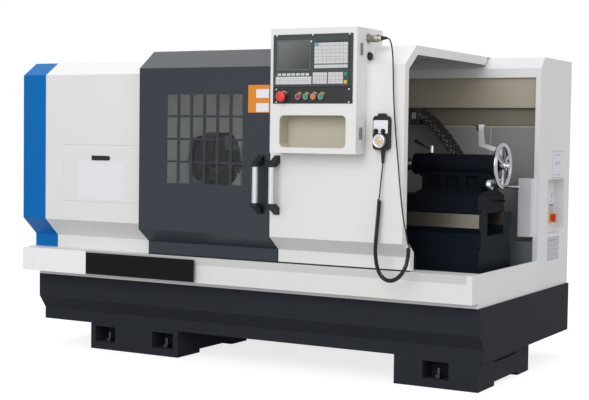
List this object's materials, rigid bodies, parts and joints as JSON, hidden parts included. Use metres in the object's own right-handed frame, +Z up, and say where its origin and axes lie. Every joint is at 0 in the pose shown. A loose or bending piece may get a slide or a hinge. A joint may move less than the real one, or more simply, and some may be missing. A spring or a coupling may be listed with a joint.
{
  "type": "cnc turning lathe",
  "caption": "Flat-bed CNC turning lathe in a folded sheet enclosure with two sliding doors, a control box with a hand pendant, a chuck, a tool turret and a tailstock.",
  "frame": {"origin": "on the floor under the middle of the machine's box", "axes": "+X along the spindle to the tailstock end, +Y to the machine's back, +Z up"},
  "size_m": [2.885, 1.786, 1.821],
  "materials": {
    "white_paint": "satin white paint",
    "blue_paint": "satin blue paint",
    "dark_paint": "fine textured dark grey paint",
    "base_paint": "fine textured dark grey paint",
    "casting_paint": "near-black machine paint",
    "grey_paint": "light grey paint",
    "cast": "machined cast iron",
    "steel": "ground and turned steel",
    "chrome": "polished chrome",
    "aluminium": "turned or brushed aluminium",
    "black_plastic": "matte black plastic",
    "panel_grey": "matte dark grey panel",
    "key_grey": "light keys",
    "rubber": "black rubber",
    "screen_glass": "dark screen",
    "window_glass": "clear polycarbonate",
    "red_plastic": "red plastic",
    "green_plastic": "green plastic",
    "orange_plastic": "orange plastic",
    "yellow_plastic": "yellow plastic"
  },
  "bodies": {
    "machine": {"base_frame": "base_paint", "left_foot": "base_paint", "right_foot": "base_paint", "levelling_bolts": "steel", "chip_tray": "white_paint", "front_boards": "white_paint", "headstock_cover": "white_paint", "end_cover": "blue_paint", "rear_cabinet": "white_paint", "terminal_box": "grey_paint", "switch_plate": "yellow_plastic", "bed": "casting_paint", "headstock": "casting_paint", "cable_chain": "black_plastic"},
    "access_panel": {"access_panel": "white_paint"},
    "access_latch": {"access_latch": "black_plastic"},
    "switch_knob": {"switch_knob": "red_plastic"},
    "spindle": {"spindle": "steel", "chuck": "cast"},
    "jaw_1": {"jaw_1": "steel"},
    "jaw_2": {"jaw_2": "steel"},
    "jaw_3": {"jaw_3": "steel"},
    "carriage": {"carriage": "casting_paint"},
    "cross_slide": {"cross_slide": "cast", "turret_base": "casting_paint"},
    "turret": {"turret": "steel"},
    "lead_screw": {"lead_screw": "steel"},
    "tailstock": {"tailstock_base": "casting_paint", "tailstock_body": "casting_paint"},
    "quill": {"quill": "steel"},
    "handwheel": {"handwheel": "chrome"},
    "wheel_grip": {"wheel_grip": "chrome"},
    "clamp_lever": {"clamp_lever": "aluminium"},
    "lock_lever": {"lock_lever": "chrome"},
    "left_door": {"left_door": "dark_paint", "left_window": "window_glass", "left_handle": "aluminium", "left_brackets": "black_plastic"},
    "right_door": {"right_door": "white_paint", "right_handle": "aluminium", "right_brackets": "black_plastic", "control_box": "white_paint", "control_hinges": "chrome", "pendant_socket": "chrome", "rubber_fittings": "rubber", "pendant_body": "black_plastic", "pendant_cord": "rubber"},
    "control_door": {"control_door": "white_paint", "cnc_panel": "panel_grey", "screen": "screen_glass", "keys": "key_grey", "button_bezels": "chrome"},
    "estop": {"estop": "red_plastic"},
    "button_red": {"button_red": "red_plastic"},
    "button_green": {"button_green": "green_plastic"},
    "button_orange": {"button_orange": "orange_plastic"},
    "button_start": {"button_start": "green_plastic"},
    "pendant_wheel": {"pendant_wheel": "aluminium"},
    "axis_knob": {"axis_knob": "black_plastic"},
    "step_knob": {"step_knob": "black_plastic"}
  },
  "joints": [
    {"name": "access_panel_hinge", "type": "hinge", "parent": "machine", "child": "access_panel", "pos_m": [-1.1189, -0.692, 1.049], "axis": [0, 0, -1], "range_deg": [0, 110]},
    {"name": "access_latch_turn", "type": "hinge", "parent": "access_panel", "child": "access_latch", "pos_m": [-0.7895, -0.694, 1.138], "axis": [0, -1, 0], "range_deg": [0, 90]},
    {"name": "main_switch_turn", "type": "hinge", "parent": "machine", "child": "switch_knob", "pos_m": [1.3475, 0.746, 0.822], "axis": [1, 0, 0], "range_deg": [0, 90]},
    {"name": "spindle_turn", "type": "hinge", "parent": "machine", "child": "spindle", "pos_m": [-0.7025, -0.098, 1.137], "axis": [1, 0, 0], "continuous": true},
    {"name": "jaw_1_slide", "type": "slide", "parent": "spindle", "child": "jaw_1", "axis": [0, 0, 1], "range_m": [-0.008, 0.015]},
    {"name": "jaw_2_slide", "type": "slide", "parent": "spindle", "child": "jaw_2", "axis": [0, -0.866, -0.5], "range_m": [-0.008, 0.015]},
    {"name": "jaw_3_slide", "type": "slide", "parent": "spindle", "child": "jaw_3", "axis": [0, 0.866, -0.5], "range_m": [-0.008, 0.015]},
    {"name": "carriage_slide", "type": "slide", "parent": "machine", "child": "carriage", "axis": [1, 0, 0], "range_m": [-0.4, 0.25], "deforming": ["cable_chain"]},
    {"name": "cross_slide_slide", "type": "slide", "parent": "carriage", "child": "cross_slide", "axis": [0, 1, 0], "range_m": [-0.12, 0.12]},
    {"name": "turret_turn", "type": "hinge", "parent": "cross_slide", "child": "turret", "pos_m": [0.3275, -0.368, 1.14], "axis": [0, 0, 1], "continuous": true},
    {"name": "lead_screw_turn", "type": "hinge", "parent": "machine", "child": "lead_screw", "pos_m": [0.1975, -0.348, 0.74], "axis": [1, 0, 0], "range_deg": [-14401, 9001]},
    {"name": "tailstock_slide", "type": "slide", "parent": "machine", "child": "tailstock", "axis": [1, 0, 0], "range_m": [-0.3, 0]},
    {"name": "quill_slide", "type": "slide", "parent": "tailstock", "child": "quill", "axis": [-1, 0, 0], "range_m": [0, 0.12]},
    {"name": "handwheel_turn", "type": "hinge", "parent": "tailstock", "child": "handwheel", "pos_m": [1.3465, -0.098, 1.137], "axis": [1, 0, 0], "range_deg": [-1, 8641]},
    {"name": "wheel_grip_turn", "type": "hinge", "parent": "handwheel", "child": "wheel_grip", "pos_m": [1.3975, -0.098, 1.027], "axis": [1, 0, 0], "continuous": true},
    {"name": "clamp_lever_turn", "type": "hinge", "parent": "tailstock", "child": "clamp_lever", "pos_m": [1.3175, -0.044, 1.06], "axis": [1, 0, 0], "range_deg": [-45, 10]},
    {"name": "lock_lever_turn", "type": "hinge", "parent": "tailstock", "child": "lock_lever", "pos_m": [0.9415, -0.098, 1.22], "axis": [0, 0, 1], "range_deg": [-60, 60]},
    {"name": "left_door_slide", "type": "slide", "parent": "machine", "child": "left_door", "axis": [1, 0, 0], "range_m": [-0.85, 0]},
    {"name": "right_door_slide", "type": "slide", "parent": "machine", "child": "right_door", "axis": [1, 0, 0], "range_m": [0, 0.29]},
    {"name": "control_door_hinge", "type": "hinge", "parent": "right_door", "child": "control_door", "pos_m": [0.863, -0.806, 1.506], "axis": [0, 0, 1], "range_deg": [0, 95]},
    {"name": "estop_press", "type": "slide", "parent": "control_door", "child": "estop", "axis": [0, 1, 0], "range_m": [0, 0.005]},
    {"name": "button_red_press", "type": "slide", "parent": "control_door", "child": "button_red", "axis": [0, 1, 0], "range_m": [0, 0.004], "stiffness_N_per_m": 500},
    {"name": "button_green_press", "type": "slide", "parent": "control_door", "child": "button_green", "axis": [0, 1, 0], "range_m": [0, 0.004], "stiffness_N_per_m": 500},
    {"name": "button_orange_press", "type": "slide", "parent": "control_door", "child": "button_orange", "axis": [0, 1, 0], "range_m": [0, 0.004], "stiffness_N_per_m": 500},
    {"name": "button_start_press", "type": "slide", "parent": "control_door", "child": "button_start", "axis": [0, 1, 0], "range_m": [0, 0.004], "stiffness_N_per_m": 500},
    {"name": "pendant_wheel_turn", "type": "hinge", "parent": "right_door", "child": "pendant_wheel", "pos_m": [0.9555, -0.779, 1.259], "axis": [0, 1, 0], "continuous": true},
    {"name": "axis_knob_turn", "type": "hinge", "parent": "right_door", "child": "axis_knob", "pos_m": [0.9315, -0.779, 1.307], "axis": [0, 1, 0], "range_deg": [-60, 60]},
    {"name": "step_knob_turn", "type": "hinge", "parent": "right_door", "child": "step_knob", "pos_m": [0.9705, -0.779, 1.307], "axis": [0, 1, 0], "range_deg": [-45, 45]}
  ],
  "couplings": [
    {"joint": "jaw_2_slide", "follows": "jaw_1_slide", "ratio": 1},
    {"joint": "jaw_3_slide", "follows": "jaw_1_slide", "ratio": 1},
    {"joint": "lead_screw_turn", "follows": "carriage_slide", "rad_per_m": 628.32},
    {"joint": "handwheel_turn", "follows": "quill_slide", "rad_per_m": 1256.6}
  ]
}
